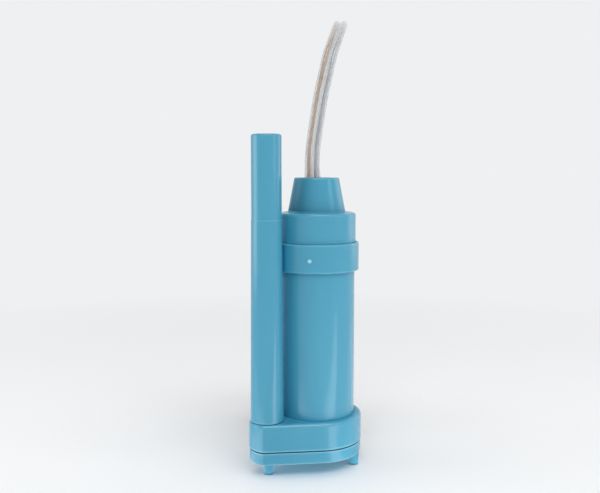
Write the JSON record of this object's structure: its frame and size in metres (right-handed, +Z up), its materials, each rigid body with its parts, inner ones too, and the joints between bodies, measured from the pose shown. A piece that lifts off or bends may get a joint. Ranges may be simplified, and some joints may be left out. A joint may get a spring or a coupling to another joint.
{
  "type": "submersible caravan water pump",
  "caption": "Slim submersible pump: round motor tube on a drop-shaped base with peg feet, a delivery tube beside it, a stepped cap with a cable cone and a clear flat twin lead.",
  "frame": {"origin": "on the floor under the middle of the pump's bounding box, the lead left out", "axes": "+Z up along the motor's axis, the delivery tube towards -X, the pump's mirror plane in XZ"},
  "size_m": [0.0709, 0.078, 0.1664],
  "materials": {
    "turquoise_plastic": "glossy moulded turquoise blue",
    "black_rubber": "matt moulded rubber",
    "clear_pvc": "clear glossy sheath over the cores",
    "copper_core": "copper strands seen through a clear skin",
    "tinned_core": "tinned strands seen through a clear skin",
    "capacitor_coat": "dipped ochre coat",
    "brass_strip": "bright rolled strip",
    "carbon": "pressed carbon",
    "black_plastic": "black moulded",
    "sintered_bronze": "oiled sintered bronze",
    "plated_steel": "zinc plated",
    "ferrite": "ground ferrite",
    "shaft_steel": "ground bright",
    "lamination_steel": "stacked sheet",
    "enamelled_copper": "enamelled wire",
    "phenolic": "brown moulded",
    "copper": "bare copper",
    "fibre": "pressed fibre",
    "white_plastic": "natural white moulded",
    "tie_nylon": "natural nylon"
  },
  "bodies": {
    "housing": {"pump_housing": "turquoise_plastic", "outlet_riser": "turquoise_plastic", "bottom_plate": "turquoise_plastic", "top_cap": "turquoise_plastic", "cap_seal_ring": "black_rubber", "cable_seal": "black_rubber", "cable_entry": "clear_pvc", "lead_positive": "copper_core", "lead_negative": "tinned_core", "suppressor_capacitor": "capacitor_coat", "terminal_positive": "brass_strip", "terminal_negative": "brass_strip", "brush_positive": "carbon", "brush_negative": "carbon", "motor_end_bell": "black_plastic", "bearing_upper": "sintered_bronze", "bearing_lower": "sintered_bronze", "motor_can": "plated_steel", "magnet_left": "ferrite", "magnet_right": "ferrite", "magnet_springs": "plated_steel", "shaft_seal": "black_rubber", "seal_retainer": "plated_steel", "cable": "clear_pvc", "cable_coil": "clear_pvc", "cable_tie": "tie_nylon", "core_ends": "copper"},
    "rotor": {"motor_shaft": "shaft_steel", "rotor_core": "lamination_steel", "rotor_windings": "enamelled_copper", "commutator_hub": "phenolic", "commutator_segments": "copper", "thrust_washers": "fibre", "impeller": "white_plastic"}
  },
  "joints": [
    {"name": "rotor_spin", "type": "hinge", "parent": "housing", "child": "rotor", "pos_m": [0.00565, 0, 0.045], "axis": [0, 0, 1], "continuous": true}
  ]
}
